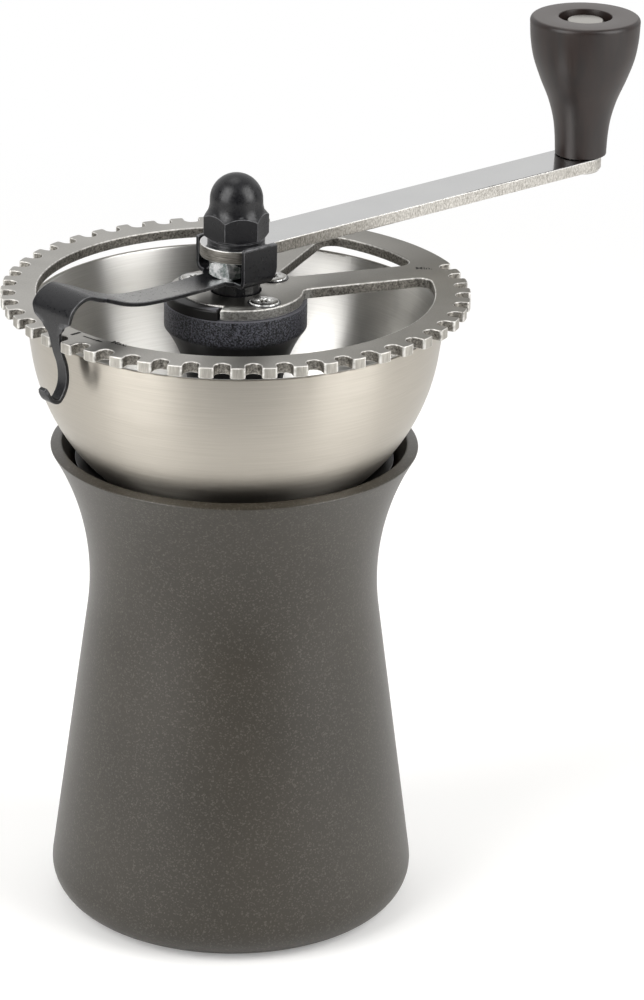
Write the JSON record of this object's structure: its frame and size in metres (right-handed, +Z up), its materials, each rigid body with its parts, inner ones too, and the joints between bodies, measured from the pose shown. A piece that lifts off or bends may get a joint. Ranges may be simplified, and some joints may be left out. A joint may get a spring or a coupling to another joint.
{
  "type": "manual coffee grinder",
  "caption": "Hand-cranked coffee grinder: turned wooden receptacle, open steel bowl over conical burrs, and a notched wheel that sets the grind against a spring finger.",
  "frame": {"origin": "centre of the receptacle's flat underside, on the turning axis of the crank and the wheel, at table height", "axes": "+Z up along the turning axis; +X to the right and +Y away, as seen from the side where the spring finger stands at the left and the crank points back to the right"},
  "size_m": [0.1483, 0.1353, 0.1946],
  "materials": {
    "grey_lacquered_wood": "grey-brown lacquer with a fine sparkle, matte",
    "dark_lacquered_wood": "dark brown-grey lacquer, matte",
    "bowl_steel": "fine brushing round the bowl, inside and outside",
    "wheel_steel": "satin sheet steel with cut edges",
    "crank_steel": "polished flat bar with sheared sides",
    "zinc_plate": "bright zinc plating",
    "black_steel": "black oxide, satin",
    "spring_steel": "black oxide on spring steel, satin, bright along the edges",
    "black_plastic": "moulded plastic with a fine grain",
    "bush_brass": "turned bearing bronze",
    "burr_steel": "hardened ground steel",
    "pin_steel": "turned steel pin with a knurled head",
    "cast_housing": "plain die casting",
    "seal_rubber": "soft black rubber"
  },
  "bodies": {
    "receptacle": {"wooden_receptacle": "grey_lacquered_wood"},
    "hopper": {"hopper_bowl": "bowl_steel", "seating_collar": "black_plastic", "collar_seal": "seal_rubber", "burr_housing": "cast_housing", "outer_burr": "burr_steel", "burr_clip": "burr_steel", "bearing_column": "black_plastic", "lower_bush": "bush_brass", "upper_bush": "bush_brass", "burr_spring": "burr_steel", "column_screw_1": "black_steel", "column_screw_2": "black_steel", "column_screw_3": "black_steel"},
    "adjuster": {"adjuster_hub": "black_plastic", "threaded_insert": "black_steel", "cog_wheel": "wheel_steel", "hub_screw_1": "zinc_plate", "hub_screw_2": "zinc_plate", "hub_screw_3": "zinc_plate"},
    "slip_washer": {"thrust_washer": "bush_brass"},
    "drive": {"drive_shaft": "black_steel", "inner_burr": "burr_steel", "burr_washer": "zinc_plate", "burr_nut": "zinc_plate", "index_bracket": "spring_steel", "lock_nut": "zinc_plate", "crank_arm": "crank_steel", "crank_washer": "zinc_plate", "dome_nut": "black_steel", "knob_pin": "pin_steel", "knob_washer": "zinc_plate"},
    "index_tip": {"index_finger": "spring_steel"},
    "knob": {"knob_bush": "bush_brass", "wooden_knob": "dark_lacquered_wood"}
  },
  "joints": [
    {"name": "hopper_lift", "type": "slide", "parent": "receptacle", "child": "hopper", "axis": [0, 0, 1], "range_m": [0, 0.06]},
    {"name": "crank_turn", "type": "hinge", "parent": "hopper", "child": "adjuster", "pos_m": [0, 0, 0.1204], "axis": [0, 0, 1], "continuous": true},
    {"name": "grind_adjust", "type": "hinge", "parent": "adjuster", "child": "slip_washer", "pos_m": [0, 0, 0.1216], "axis": [0, 0, 1], "range_deg": [-142.5, 157.5], "deforming": ["index_finger"]},
    {"name": "burr_lift", "type": "slide", "parent": "slip_washer", "child": "drive", "axis": [0, 0, 1], "range_m": [-0.0004, 0.00044], "deforming": ["burr_spring"]},
    {"name": "index_flex", "type": "hinge", "parent": "drive", "child": "index_tip", "pos_m": [-0.03636, -0.03262, 0.15945], "axis": [-0.6678, 0.7443, 0], "range_deg": [0, 12], "stiffness_Nm_per_rad": 0.5},
    {"name": "knob_spin", "type": "hinge", "parent": "drive", "child": "knob", "pos_m": [0.08215, 0.06918, 0.17], "axis": [0, 0, 1], "continuous": true}
  ],
  "couplings": [
    {"joint": "burr_lift", "follows": "grind_adjust", "m_per_rad": 0.00015915}
  ]
}
